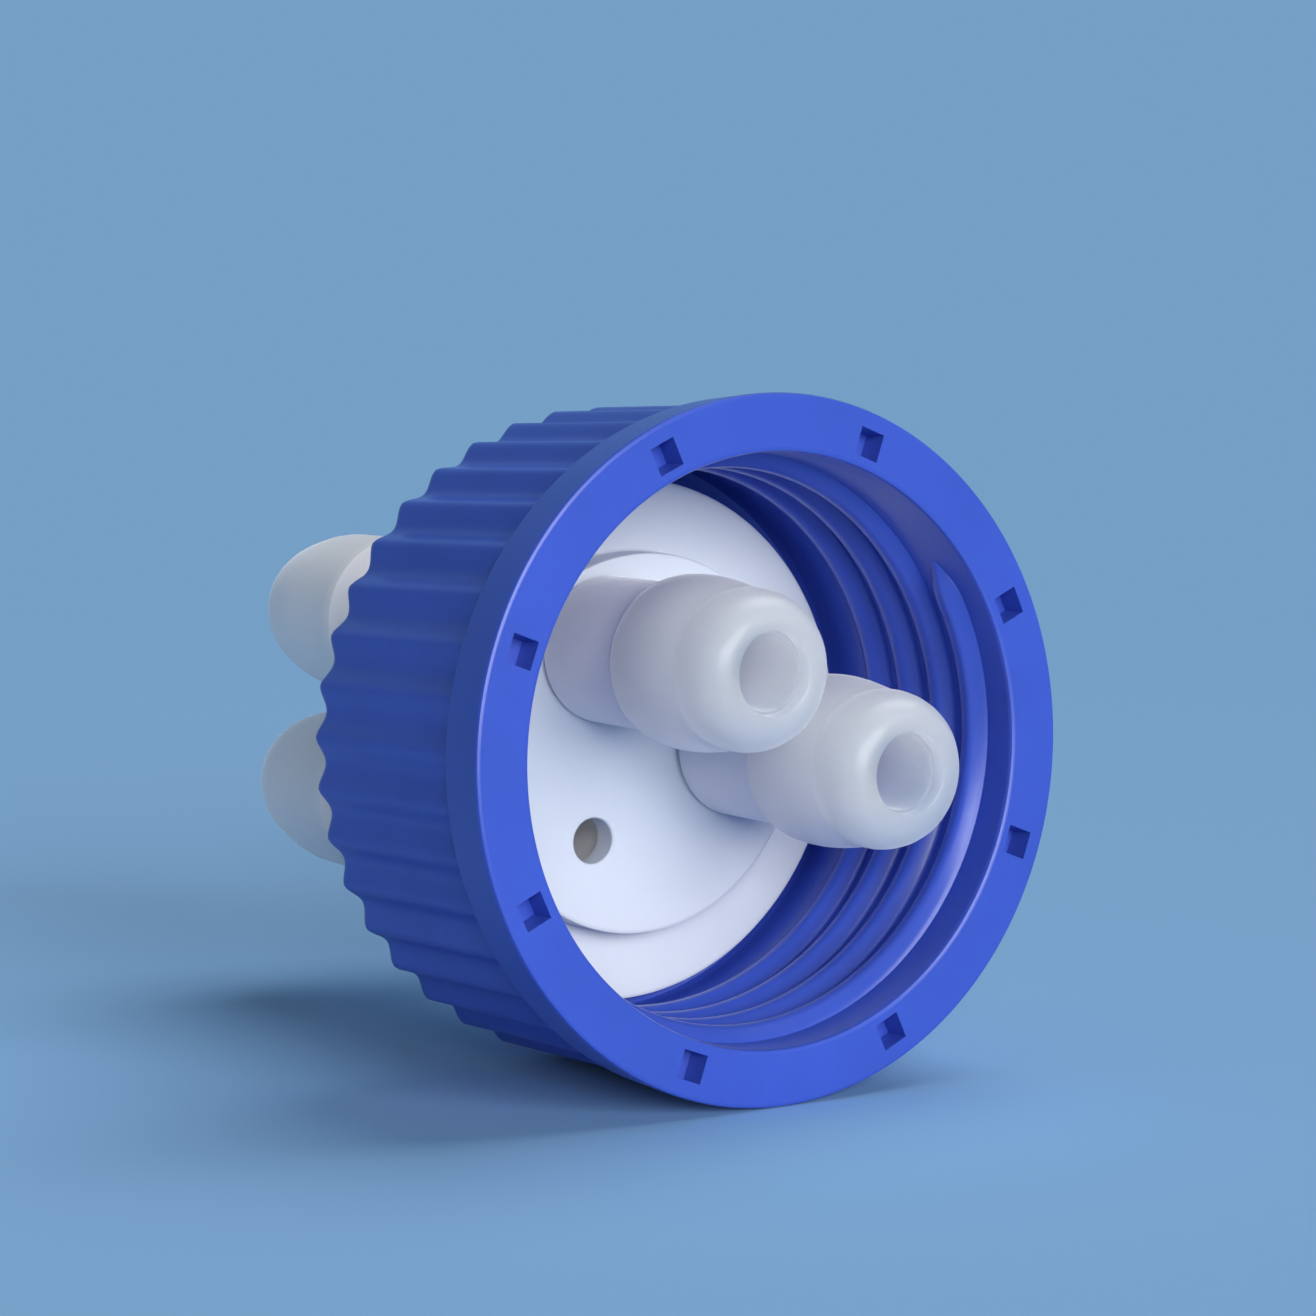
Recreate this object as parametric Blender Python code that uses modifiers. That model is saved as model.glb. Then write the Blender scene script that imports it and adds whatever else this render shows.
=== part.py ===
"""Bottle cap adapter: an open-top screw cap that clamps a three-port hose insert.

Every piece is modelled in the cap's own frame, in millimetres: +Z runs along the cap
axis out of the mouth and Z = 0 is the rim face. A pose empty then lays the cap on its
side, where it rests on the front collar and on the back end of the fluted skirt.
"""

import math

import bmesh
import bpy
from mathutils import Matrix, Vector

MM = 0.001
TURN = 2 * math.pi
GAP = 0.3  # left between two pieces that touch in the real assembly

# Screw cap, its radii stepping out from the bore
BORE_R = 22.75
SKIRT_WALL = 3.65  # from the bore to a flute crest
RIM_STEP = 0.6  # the collar's back edge stands this far outside the flutes
RIM_DRAFT = 0.25
FLUTE_CREST_R = BORE_R + SKIRT_WALL
RIM_BACK_R = FLUTE_CREST_R + RIM_STEP
RIM_R = RIM_BACK_R + RIM_DRAFT
RIM_DEPTH = 4.9  # axial length of the collar
RIM_BEVEL = 0.35
CAP_HEIGHT = 26.0
MOUTH_BEVEL = 0.3
TOP_WALL = 2.0
FLUTES = 41
FLUTE_DEPTH = 0.85
FLUTE_STEPS = 8
FLUTE_PHASE = 270 - 180 / FLUTES  # the cap lies on the two crests beside its lowest line
BACK_ROUND = 1.2
CREST_SPARE = 0.15  # the turned blank stands this far outside the flute crests
POCKETS = 8
POCKET_R = (BORE_R + RIM_R) / 2 - 0.25
POCKET_SIDE = 2.4
POCKET_DEPTH = 2.1
POCKET_PHASE = 24.6

# Port insert, with Z = 0 on its boss face and +Z towards the bottle
DISC_PLAY = 1.5  # all round the disc in the bore
DISC_R = BORE_R - DISC_PLAY
SEAT_WIDTH = 5.85  # flat ring that seals on the bottle's lip
BOSS_R = DISC_R - SEAT_WIDTH
BOSS_HEIGHT = 2.8
DISC_THICK = 1.7
DISC_END_PLAY = 0.9  # room for the loose disc to lean
BOSS_FACE_Z = -CAP_HEIGHT + TOP_WALL + DISC_END_PLAY + DISC_THICK + BOSS_HEIGHT
HUB_R = BOSS_R + 0.5
HUB_LENGTH = 5.1
HUB_BACK_Z = -BOSS_HEIGHT - DISC_THICK - HUB_LENGTH
HUB_PLAY = 1.3
APERTURE_R = HUB_R + HUB_PLAY  # hole in the cap's top wall that the hub comes through
PORT_CIRCLE_R = 8.9
PORT_ANGLES = {"a": 117.4, "b": 357.4, "vent": 237.4}
VENT_HOLE_R = 1.85
VENT_WALL = 2.2
INSERT_DROP = 0.65  # the loose insert hangs this far below the cap axis
INSERT_TILT = 2.2  # degrees; its axis lies level while the cap tips up
LENGTHWISE_SHIFT = -30.51  # puts the middle of the whole length over the origin

# Internal thread
THREAD_PITCH = 4.0
THREAD_HEIGHT = 1.2
THREAD_CREST_R = BORE_R - THREAD_HEIGHT
THREAD_START_Z = -4.0
THREAD_RUNOUT = 4.6  # smooth bore left above the top wall
THREAD_END_Z = -CAP_HEIGHT + TOP_WALL + THREAD_RUNOUT
THREAD_EMBED = 0.5  # the sweep runs this deep in the wall
THREAD_ROOT_HALF = 1.45
THREAD_CREST_HALF = 0.55
THREAD_FADE = 8.0  # degrees over which each end of the thread dies into the wall
THREAD_START_ANGLE = 38.0

# Hose connectors: a shank through the insert ties the outer and the inner one together
SHANK_R = 4.0
SHANK_HOLE_R = SHANK_R + GAP
SHANK_TIP_Z = 6.6

# Outer connector: hexagonal collar on a seal, then three hose barbs
HEX_ACROSS = 14.4
HEX_THICK = 4.0
HEX_FLOOR = 1.2  # wall between the wide bore and the sealing face
SEAL_THICK = 1.2
SEAL_OUTER_R = HEX_ACROSS / 2 - 0.8
OUTER_BARB_R = 7.0
NECK_R = OUTER_BARB_R - 2.0
OUTER_TIP_R = OUTER_BARB_R - 2.3
OUTER_TIP_Z = -47.0
SHANK_BORE_R = SHANK_R - 1.1
STEM_BORE_R = NECK_R - 1.0
BARB_PITCH = 7.6
BARB_LAND = 1.3

# Inner connector: plain collar, one full barb and a slimmer tip stage
INNER_TIP_Z = 23.1
INNER_SHOULDER_Z = 10.5
INNER_BARB_R = 6.8
INNER_COLLAR_R = INNER_BARB_R - 0.95
INNER_NOTCH_R = INNER_BARB_R - 0.75
INNER_BORE_R = 2.9

ROUND_STEPS = 28
CAP_STEPS = 90


def start_scene():
    """An empty scene with one collection for the pieces and one for the cutters."""
    for found in list(bpy.data.objects):
        bpy.data.objects.remove(found, do_unlink=True)
    groups = []
    for name in ("bottle_cap_adapter", "cutters"):
        group = bpy.data.collections.new(name)
        bpy.context.scene.collection.children.link(group)
        groups.append(group)
    groups[1].hide_render = True
    return groups


PIECES, CUTTERS = start_scene()


def plastic(name, color, roughness, transmission=0.0):
    """A Principled material, slightly translucent where the plastic is natural."""
    made = bpy.data.materials.new(name)
    made.use_nodes = True
    shader = made.node_tree.nodes["Principled BSDF"]
    shader.inputs["Base Color"].default_value = (*color, 1)
    shader.inputs["Roughness"].default_value = roughness
    shader.inputs["Transmission Weight"].default_value = transmission
    made.diffuse_color = (*color, 1)
    return made


def add(name, mesh, group, pose, material=None):
    """Puts a mesh in the scene as one named object under the pose empty."""
    made = bpy.data.objects.new(name, mesh)
    group.objects.link(made)
    made.parent = pose
    if group is CUTTERS:
        made.hide_render = True
        made.display_type = "WIRE"
    if material:
        mesh.materials.append(material)
    return made


def empty(name, matrix, parent=None):
    made = bpy.data.objects.new(name, None)
    made.empty_display_size = 10 * MM
    PIECES.objects.link(made)
    made.parent = parent
    made.matrix_local = matrix
    return made


def baked(made):
    """The object's evaluated mesh, closed, as plain mesh data; the object itself goes."""
    graph = bpy.context.evaluated_depsgraph_get()
    mesh = bpy.data.meshes.new_from_object(made.evaluated_get(graph))
    bpy.data.objects.remove(made, do_unlink=True)
    work = bmesh.new()
    work.from_mesh(mesh)
    bmesh.ops.remove_doubles(work, verts=work.verts, dist=0.001 * MM)
    bmesh.ops.recalc_face_normals(work, faces=work.faces)
    if work.calc_volume(signed=True) < 0:
        bmesh.ops.reverse_faces(work, faces=work.faces)
    work.to_mesh(mesh)
    work.free()
    return mesh


def turned(profile, steps=ROUND_STEPS, start=0.0):
    """A closed (radius, z) profile turned about Z, the outer side first from the top down."""
    mesh = bpy.data.meshes.new("profile")
    points = [Vector((r * MM, 0, z * MM)) for r, z in profile]
    count = len(points)
    mesh.from_pydata(points, [(i, (i + 1) % count) for i in range(count)], [])
    line = bpy.data.objects.new("profile", mesh)
    PIECES.objects.link(line)
    screw = line.modifiers.new("turn", "SCREW")
    screw.axis = "Z"
    screw.steps = steps
    screw.render_steps = steps
    screw.use_merge_vertices = True
    screw.merge_threshold = 0.00001
    made = baked(line)
    made.transform(Matrix.Rotation(math.radians(start), 4, "Z"))
    return made


def outline(loops, low, high):
    """Closed flat outlines, filled between and extruded from one height to another."""
    curve = bpy.data.curves.new("outline", "CURVE")
    curve.dimensions = "2D"
    curve.fill_mode = "BOTH"
    curve.extrude = (high - low) / 2 * MM
    for loop in loops:
        spline = curve.splines.new("POLY")
        spline.points.add(len(loop) - 1)
        for point, (x, y) in zip(spline.points, loop):
            point.co = (x * MM, y * MM, 0, 1)
        spline.use_cyclic_u = True
    made = bpy.data.objects.new("outline", curve)
    PIECES.objects.link(made)
    mesh = baked(made)
    mesh.transform(Matrix.Translation((0, 0, (high + low) / 2 * MM)))
    return mesh


def polar(radius, degrees):
    angle = math.radians(degrees)
    return radius * math.cos(angle), radius * math.sin(angle)


def combine(target, tool, operation, name):
    step = target.modifiers.new(name, "BOOLEAN")
    step.operation = operation
    step.solver = "EXACT"
    step.object = tool


def flute_line():
    """The skirt's wavy outline: rounded crests between wider hollows."""
    line = []
    for i in range(FLUTES * FLUTE_STEPS):
        turn = i / FLUTE_STEPS
        depth = ((1 - math.cos(TURN * turn)) / 2) ** 0.8
        line.append(polar(FLUTE_CREST_R - FLUTE_DEPTH * depth, FLUTE_PHASE + turn * 360 / FLUTES))
    return line


def thread_ridge():
    """The thread as a swept ridge whose two ends sink into the wall."""
    turns = (THREAD_START_Z - THREAD_END_Z) / THREAD_PITCH
    count = int(turns * 40)
    path_r = BORE_R + THREAD_EMBED
    section = bpy.data.curves.new("section", "CURVE")
    section.dimensions = "2D"
    height = path_r - THREAD_CREST_R
    spline = section.splines.new("POLY")
    corners = [
        (0, -THREAD_ROOT_HALF),
        (height, -THREAD_CREST_HALF),
        (height, THREAD_CREST_HALF),
        (0, THREAD_ROOT_HALF),
    ]
    spline.points.add(len(corners) - 1)
    for point, (x, y) in zip(spline.points, corners):
        point.co = (x * MM, y * MM, 0, 1)
    spline.use_cyclic_u = True
    section_object = bpy.data.objects.new("section", section)
    PIECES.objects.link(section_object)
    path = bpy.data.curves.new("thread", "CURVE")
    path.dimensions = "3D"
    path.twist_mode = "Z_UP"
    path.bevel_mode = "OBJECT"
    path.bevel_object = section_object
    path.use_fill_caps = True
    spline = path.splines.new("POLY")
    spline.points.add(count)
    for i, point in enumerate(spline.points):
        along = i / count
        swept = along * turns * 360
        x, y = polar(path_r, THREAD_START_ANGLE - swept)
        z = THREAD_START_Z + along * (THREAD_END_Z - THREAD_START_Z)
        point.co = (x * MM, y * MM, z * MM, 1)
        fade = min(swept, turns * 360 - swept) / THREAD_FADE
        point.radius = min(1.0, 0.3 + 0.7 * fade)
    made = bpy.data.objects.new("thread", path)
    PIECES.objects.link(made)
    mesh = baked(made)
    bpy.data.objects.remove(section_object, do_unlink=True)
    return mesh


def screw_cap(pose, material):
    """Collar, fluted skirt, top wall with its aperture, threaded bore, rim pockets."""
    back = -CAP_HEIGHT
    envelope_r = FLUTE_CREST_R + CREST_SPARE
    corner = [
        (
            envelope_r - BACK_ROUND * (1 - math.cos(math.radians(a))),
            back + BACK_ROUND * (1 - math.sin(math.radians(a))),
        )
        for a in (0, 30, 60, 90)
    ]
    profile = [
        (BORE_R + MOUTH_BEVEL, 0),
        (RIM_R - RIM_BEVEL, 0),
        (RIM_R, -RIM_BEVEL),
        (RIM_BACK_R, -RIM_DEPTH),
        (envelope_r, -RIM_DEPTH - 0.25),
        *corner,
        (APERTURE_R, back),
        (APERTURE_R, back + TOP_WALL),
        (BORE_R, back + TOP_WALL),
        (BORE_R, -MOUTH_BEVEL),
    ]
    half_step = 180 / CAP_STEPS
    cap = add("screw_cap", turned(profile, CAP_STEPS, 270 - half_step), PIECES, pose, material)
    ring = [polar(RIM_R + 2, i * 360 / CAP_STEPS) for i in range(CAP_STEPS)]
    waste = outline([ring, flute_line()], back - 1, -RIM_DEPTH - 0.3)
    combine(cap, add("flute_cutter", waste, CUTTERS, pose), "DIFFERENCE", "flutes")
    pockets = bpy.data.meshes.new("pocket_cutter")
    work = bmesh.new()
    for i in range(POCKETS):
        place = (
            Matrix.Rotation(math.radians(POCKET_PHASE + i * 360 / POCKETS), 4, "Z")
            @ Matrix.Translation((POCKET_R * MM, 0, 0))
            @ Matrix.Diagonal((POCKET_SIDE * MM, POCKET_SIDE * MM, 2 * POCKET_DEPTH * MM, 1))
        )
        bmesh.ops.create_cube(work, size=1, matrix=place)
    work.to_mesh(pockets)
    work.free()
    combine(cap, add("pocket_cutter", pockets, CUTTERS, pose), "DIFFERENCE", "pockets")
    combine(cap, add("thread_ridge", thread_ridge(), CUTTERS, pose), "UNION", "thread")
    return cap


def port_insert(pose, material):
    """Sealing disc with a raised boss, a hub behind it and three port holes."""
    disc_front = -BOSS_HEIGHT
    disc_back = disc_front - DISC_THICK
    edge = 0.25
    profile = [
        (0, 0),
        (BOSS_R - edge, 0),
        (BOSS_R, -edge),
        (BOSS_R, disc_front),
        (DISC_R - edge, disc_front),
        (DISC_R, disc_front - edge),
        (DISC_R, disc_back),
        (HUB_R, disc_back),
        (HUB_R, HUB_BACK_Z + 0.4),
        (HUB_R - 0.4, HUB_BACK_Z),
        (0, HUB_BACK_Z),
    ]
    insert = add("port_insert", turned(profile, 60), PIECES, pose, material)
    for port, angle in PORT_ANGLES.items():
        top = 1 if port != "vent" else -VENT_WALL
        steps = [(SHANK_HOLE_R, top), (SHANK_HOLE_R, HUB_BACK_Z - 1), (0, HUB_BACK_Z - 1)]
        if port == "vent":
            steps = [(0, 1), (VENT_HOLE_R, 1), (VENT_HOLE_R, top)] + steps
        else:
            steps = [(0, top)] + steps
        hole = turned(steps, 24)
        hole.transform(Matrix.Translation(Vector((*polar(PORT_CIRCLE_R, angle), 0)) * MM))
        combine(insert, add(f"port_hole_{port}", hole, CUTTERS, pose), "DIFFERENCE", port)
    return insert


def outer_barb(port, pose, material):
    """Hose connector behind the cap, its shank passing through the insert."""
    seal_back = HUB_BACK_Z - SEAL_THICK - 2 * GAP
    hex_back = seal_back - HEX_THICK
    shank_top = SHANK_TIP_Z if port != "vent" else -VENT_WALL - GAP
    steps = [(SHANK_BORE_R, shank_top), (SHANK_R - 0.3, shank_top), (SHANK_R, shank_top - 0.3)]
    steps += [(SHANK_R, seal_back), (HEX_ACROSS / 2 - 0.3, seal_back)]
    steps += [(HEX_ACROSS / 2 - 0.3, hex_back), (NECK_R, hex_back - 0.3)]
    crest = OUTER_BARB_R
    top = hex_back - BARB_LAND
    for stage in range(3):
        low = top - BARB_PITCH
        steps += [(NECK_R, top), (crest - 0.25, top - 0.15), (crest, top - 0.5)]
        if stage < 2:
            steps += [(crest, top - BARB_LAND), (NECK_R, low)]
        top = low
    steps += [
        (crest - 0.1, OUTER_TIP_Z + 7.6),
        (crest - 0.55, OUTER_TIP_Z + 4.9),
        (crest - 1.15, OUTER_TIP_Z + 2.6),
        (crest - 1.75, OUTER_TIP_Z + 1.1),
        (OUTER_TIP_R, OUTER_TIP_Z + 0.3),
        (OUTER_TIP_R - 0.35, OUTER_TIP_Z),
        (STEM_BORE_R, OUTER_TIP_Z),
        (STEM_BORE_R, seal_back - HEX_FLOOR - 0.5),
        (SHANK_BORE_R, seal_back - HEX_FLOOR),
    ]
    place = Matrix.Translation(Vector((*polar(PORT_CIRCLE_R, PORT_ANGLES[port]), 0)) * MM)
    body = turned(steps)
    body.transform(place)
    made = add(f"outer_barb_{port}", body, PIECES, pose, material)
    corner_r = HEX_ACROSS / 2 / math.cos(math.radians(30))
    hexagon = [polar(corner_r, i * 60 + PORT_ANGLES[port]) for i in range(6)]
    bore = [polar(NECK_R - 0.5, i * 10) for i in range(36)]
    wrench = outline([hexagon, bore], hex_back + 0.2, seal_back - 0.2)
    wrench.transform(place)
    combine(made, add(f"hex_{port}", wrench, CUTTERS, pose), "UNION", "hexagon")
    return made


def inner_barb(port, pose, material):
    """Hose connector inside the bottle, screwed on the shank against the boss."""
    shoulder = INNER_SHOULDER_Z
    tip = INNER_TIP_Z
    barb = INNER_BARB_R
    base = GAP
    socket_r = SHANK_R + GAP
    socket_top = SHANK_TIP_Z + GAP
    steps = [
        (INNER_BORE_R, tip - 0.25),
        (INNER_BORE_R + 0.25, tip),
        (barb - 2.8, tip),
        (barb - 1.95, tip - 0.3),
        (barb - 1.25, tip - 0.95),
        (barb - 0.8, tip - 1.9),
        (barb - 0.58, tip - 3.0),
        (barb - 0.6, tip - 3.9),
        (INNER_NOTCH_R, tip - 4.55),
        (barb - 0.54, tip - 5.1),
        (barb - 0.25, tip - 6.7),
        (barb - 0.08, shoulder + 4.6),
        (barb, shoulder + 3.2),
        (barb - 0.15, shoulder + 1.2),
        (barb - 0.45, shoulder + 0.15),
        (barb - 0.65, shoulder),
        (INNER_COLLAR_R, shoulder),
        (INNER_COLLAR_R, base + 0.3),
        (INNER_COLLAR_R - 0.3, base),
        (socket_r, base),
        (socket_r, socket_top),
        (INNER_BORE_R, socket_top),
    ]
    body = turned(steps)
    place = Vector((*polar(PORT_CIRCLE_R, PORT_ANGLES[port]), 0)) * MM
    body.transform(Matrix.Translation(place))
    return add(f"inner_barb_{port}", body, PIECES, pose, material)


def seal_ring(port, pose, material):
    """Flat seal under the hexagonal collar."""
    top = HUB_BACK_Z - GAP
    inner = SHANK_R + GAP
    soft = 0.25
    steps = [
        (inner, top),
        (SEAL_OUTER_R - soft, top),
        (SEAL_OUTER_R, top - soft),
        (SEAL_OUTER_R, top - SEAL_THICK + soft),
        (SEAL_OUTER_R - soft, top - SEAL_THICK),
        (inner, top - SEAL_THICK),
    ]
    body = turned(steps)
    place = Vector((*polar(PORT_CIRCLE_R, PORT_ANGLES[port]), 0)) * MM
    body.transform(Matrix.Translation(place))
    return add(f"seal_ring_{port}", body, PIECES, pose, material)


def lying_pose():
    """The cap on its side: mouth towards -Y and raised until collar and skirt both touch."""
    front_z = -RIM_BEVEL
    spare_angle = math.acos(1 - CREST_SPARE / BACK_ROUND)
    back_z = -CAP_HEIGHT + BACK_ROUND * (1 - math.sin(spare_angle))
    rim_low = RIM_R * math.cos(math.pi / CAP_STEPS)
    skirt_low = FLUTE_CREST_R * math.cos(math.pi / FLUTES)
    tilt = math.atan2(rim_low - skirt_low, front_z - back_z)
    floor = rim_low * math.cos(tilt) - front_z * math.sin(tilt)
    turn = Matrix.Rotation(math.pi / 2, 4, "X") @ Matrix.Rotation(-tilt, 4, "X")
    return Matrix.Translation((0, LENGTHWISE_SHIFT * MM, floor * MM)) @ turn


def main():
    blue = plastic("blue_polypropylene", (0.045, 0.075, 0.5), 0.42)
    white = plastic("white_ptfe", (0.80, 0.84, 0.88), 0.5)
    natural = plastic("natural_polypropylene", (0.62, 0.66, 0.72), 0.35, 0.3)
    rubber = plastic("seal_elastomer", (0.08, 0.08, 0.08), 0.7)
    cap_axis = empty("cap_axis", lying_pose())
    hang = Matrix.Translation((0, -INSERT_DROP * MM, BOSS_FACE_Z * MM))
    insert_axis = empty(
        "insert_axis", hang @ Matrix.Rotation(math.radians(INSERT_TILT), 4, "X"), cap_axis
    )
    screw_cap(cap_axis, blue)
    port_insert(insert_axis, white)
    for port in PORT_ANGLES:
        outer_barb(port, insert_axis, natural)
        seal_ring(port, insert_axis, rubber)
        if port != "vent":
            inner_barb(port, insert_axis, natural)


main()
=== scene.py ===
# %% [markdown]
# A bottle cap adapter for the laboratory: a blue screw cap lies on its side, and in it
# hangs a white disc that carries hose connectors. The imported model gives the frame, in
# metres, and this lesson dresses it piece by piece. Nothing of the frame is moved.

import math

import bmesh
import bpy
from mathutils import Matrix, Vector


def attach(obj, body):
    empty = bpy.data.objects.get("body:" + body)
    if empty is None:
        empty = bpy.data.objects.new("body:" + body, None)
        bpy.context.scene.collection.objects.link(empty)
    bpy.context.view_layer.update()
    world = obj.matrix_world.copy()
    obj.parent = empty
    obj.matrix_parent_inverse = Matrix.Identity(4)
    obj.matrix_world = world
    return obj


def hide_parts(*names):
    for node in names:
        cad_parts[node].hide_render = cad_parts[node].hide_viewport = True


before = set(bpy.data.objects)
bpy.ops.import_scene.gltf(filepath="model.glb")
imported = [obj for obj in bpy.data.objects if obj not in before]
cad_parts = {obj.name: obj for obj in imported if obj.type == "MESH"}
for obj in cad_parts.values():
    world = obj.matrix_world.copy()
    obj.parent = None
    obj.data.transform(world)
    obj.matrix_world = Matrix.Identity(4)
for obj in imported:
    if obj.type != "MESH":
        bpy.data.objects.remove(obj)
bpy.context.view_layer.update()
MM = 0.001

# %% [markdown]
# The cap has its own axis. It is easiest to model each piece upright on that axis, with
# the rim face at height 0, and to lay it down at the end. The cap leans on its collar and
# on the back end of its flutes, so the mouth is tipped up by about two degrees. The disc
# hangs a little low in the cap, because nothing clamps it, and lies almost level.

# %% The two poses
CAP_HEIGHT = 26.0
REST_TILT = math.radians(2.08404)
FLOOR_HEIGHT = 27.22811
LENGTHWISE_SHIFT = -30.51
INSERT_DROP = 0.65
INSERT_TILT = math.radians(2.2)
BOSS_FACE = -18.6

CAP_POSE = (
    Matrix.Translation((0, LENGTHWISE_SHIFT * MM, FLOOR_HEIGHT * MM))
    @ Matrix.Rotation(math.pi / 2, 4, "X")
    @ Matrix.Rotation(-REST_TILT, 4, "X")
)
INSERT_POSE = (
    CAP_POSE
    @ Matrix.Translation((0, -INSERT_DROP * MM, BOSS_FACE * MM))
    @ Matrix.Rotation(INSERT_TILT, 4, "X")
)
INSERT_AXIS = INSERT_POSE.to_3x3() @ Vector((0, 0, 1))
print("cap axis", tuple(round(c, 4) for c in CAP_POSE.to_3x3() @ Vector((0, 0, 1))))
print("disc axis", tuple(round(c, 4) for c in INSERT_AXIS))

# %% [markdown]
# The photograph is taken with a long lens from the front left, hardly above the bench.
# A long lens keeps the two circles of the cap almost the same shape. The Standard view
# shows each colour as it is written.

# %% Camera
LENS_MM = 97.3
CAMERA_PLACE = (-0.160171, -0.245999, 0.059348)
CAMERA_TURN = (84.6646, -0.5241, -34.548)

camera_data = bpy.data.cameras.new("camera")
camera_data.lens = LENS_MM
camera_data.sensor_width = 36.0
camera_data.clip_start = 0.01
camera_data.clip_end = 20.0
camera = bpy.data.objects.new("camera", camera_data)
bpy.context.scene.collection.objects.link(camera)
camera.location = CAMERA_PLACE
camera.rotation_euler = [math.radians(a) for a in CAMERA_TURN]
bpy.context.scene.camera = camera
bpy.context.scene.view_settings.view_transform = "Standard"
print("camera height in mm", round(camera.location.z / MM))

# %% [markdown]
# A material or a world is a small web of nodes, so one function adds any node with its
# settings, values and links. Colours are written as in a paint program, in sRGB, and one
# function turns them into the linear numbers that light is added up in.

# %% Colour and node helpers


def linear(hex_color):
    """An sRGB colour such as 76A0C8 as the linear colour that the shader works in."""
    parts = [int(hex_color[i : i + 2], 16) / 255 for i in (0, 2, 4)]
    return tuple(c / 12.92 if c <= 0.04045 else ((c + 0.055) / 1.055) ** 2.4 for c in parts) + (1,)


def add_node(tree, kind, settings=None, values=None, links=None):
    """One node with its settings, its socket values and what is linked into it."""
    node = tree.nodes.new(kind)
    for name, value in (settings or {}).items():
        setattr(node, name, value)
    set_sockets(node, values or {})
    for socket, source in (links or {}).items():
        tree.links.new(source, node.inputs[socket])
    return node


def set_sockets(node, values):
    """Types plain values into a node's own sockets."""
    for socket, value in values.items():
        node.inputs[socket].default_value = value


print("sky blue in linear light", [round(c, 3) for c in linear("769FC6")])

# %% [markdown]
# Studio light: three large soft lamps. The strongest stands in front of the mouth, so
# that the rim and the disc are bright and the shadow falls behind. One beside the camera
# reaches the grip and the sides of the connectors, and one hangs overhead. A sun with a
# wide angle acts as a very large softbox and lights the whole bench evenly.

# %% Lamps


def sun(name, direction, strength, spread):
    """A sun lamp that shines from this direction, as wide as its spread in degrees."""
    lamp = bpy.data.lights.new(name, "SUN")
    lamp.energy = strength
    lamp.angle = math.radians(spread)
    holder = bpy.data.objects.new(name, lamp)
    holder.rotation_euler = (-Vector(direction)).to_track_quat("-Z", "Y").to_euler()
    bpy.context.scene.collection.objects.link(holder)
    print(name, "strength", strength, "spread", spread)


sun("front_softbox", (0.0, -1.0, 0.24), 2.45, 38)
sun("side_fill", (-0.5, -0.86, 0.27), 0.95, 20)
sun("overhead_softbox", (0.5, 0.05, 1.0), 1.35, 45)

# %% [markdown]
# Behind the bench is a plain blue backdrop. Only the eye, a gloss or a clear part sees
# it. All other light finds a faint even white there, which fills the deepest shadows
# without tinting the object.

# %% Backdrop
BACKGROUND = linear("769FC6")
WHITE = (1, 1, 1, 1)
WORLD_FILL = 0.07


def seen_directly(tree):
    """1 for a ray from the eye, a gloss or a clear part, and 0 for a ray of plain light."""
    path = add_node(tree, "ShaderNodeLightPath")
    mirror = add_node(
        tree,
        "ShaderNodeMath",
        {"operation": "MAXIMUM"},
        links={0: path.outputs["Is Camera Ray"], 1: path.outputs["Is Glossy Ray"]},
    )
    either = add_node(
        tree,
        "ShaderNodeMath",
        {"operation": "MAXIMUM"},
        links={0: mirror.outputs[0], 1: path.outputs["Is Transmission Ray"]},
    )
    return either.outputs[0]


world = bpy.data.worlds.new("studio")
bpy.context.scene.world = world
world.use_nodes = True
tree = world.node_tree
tree.nodes.clear()
fill = add_node(tree, "ShaderNodeBackground", values={"Color": WHITE, "Strength": WORLD_FILL})
seen = add_node(tree, "ShaderNodeBackground", values={"Color": BACKGROUND, "Strength": 1})
mix = add_node(
    tree,
    "ShaderNodeMixShader",
    links={0: seen_directly(tree), 1: fill.outputs[0], 2: seen.outputs[0]},
)
add_node(tree, "ShaderNodeOutputWorld", links={"Surface": mix.outputs[0]})
print("world nodes", len(tree.nodes))

# %% [markdown]
# The bench is one large plane in matt paint, without gloss, so that it only keeps the
# soft shadow. Its paint is lighter than the backdrop, because the lamps reach it at a
# slant, and the two come out alike. Away from the object the bench fades into the
# backdrop's own colour, so no horizon line shows.

# %% Bench
BENCH_SIZE = 8
BENCH_BELOW = 0.02
BENCH_PAINT = linear("8DBBE8")
FADE_START = 110.0
FADE_END = 450.0

bpy.ops.object.select_all(action="DESELECT")
bpy.ops.mesh.primitive_plane_add(size=BENCH_SIZE, location=(0, 0, -BENCH_BELOW * MM))
floor = bpy.context.active_object
floor.name = "bench"
paint = bpy.data.materials.new("bench_paint")
paint.use_nodes = True
tree = paint.node_tree
matt = tree.nodes["Principled BSDF"]
set_sockets(matt, {"Base Color": BENCH_PAINT, "Roughness": 0.9, "Specular IOR Level": 0.0})
floor.data.materials.append(paint)
print("bench", BENCH_SIZE, "m wide,", BENCH_BELOW, "mm below the object")

# %% Bench fades into the backdrop
place = add_node(tree, "ShaderNodeTexCoord")
distance = add_node(
    tree, "ShaderNodeVectorMath", {"operation": "LENGTH"}, links={0: place.outputs["Object"]}
)
far = add_node(
    tree,
    "ShaderNodeMapRange",
    {"interpolation_type": "SMOOTHSTEP"},
    {"From Min": FADE_START * MM, "From Max": FADE_END * MM},
    {"Value": distance.outputs["Value"]},
)
seen_far = add_node(
    tree,
    "ShaderNodeMath",
    {"operation": "MULTIPLY"},
    links={0: far.outputs["Result"], 1: seen_directly(tree)},
)
haze = add_node(tree, "ShaderNodeEmission", values={"Color": BACKGROUND, "Strength": 1.0})
blend = add_node(
    tree,
    "ShaderNodeMixShader",
    links={0: seen_far.outputs[0], 1: matt.outputs[0], 2: haze.outputs[0]},
)
tree.links.new(blend.outputs[0], tree.nodes["Material Output"].inputs["Surface"])
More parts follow.
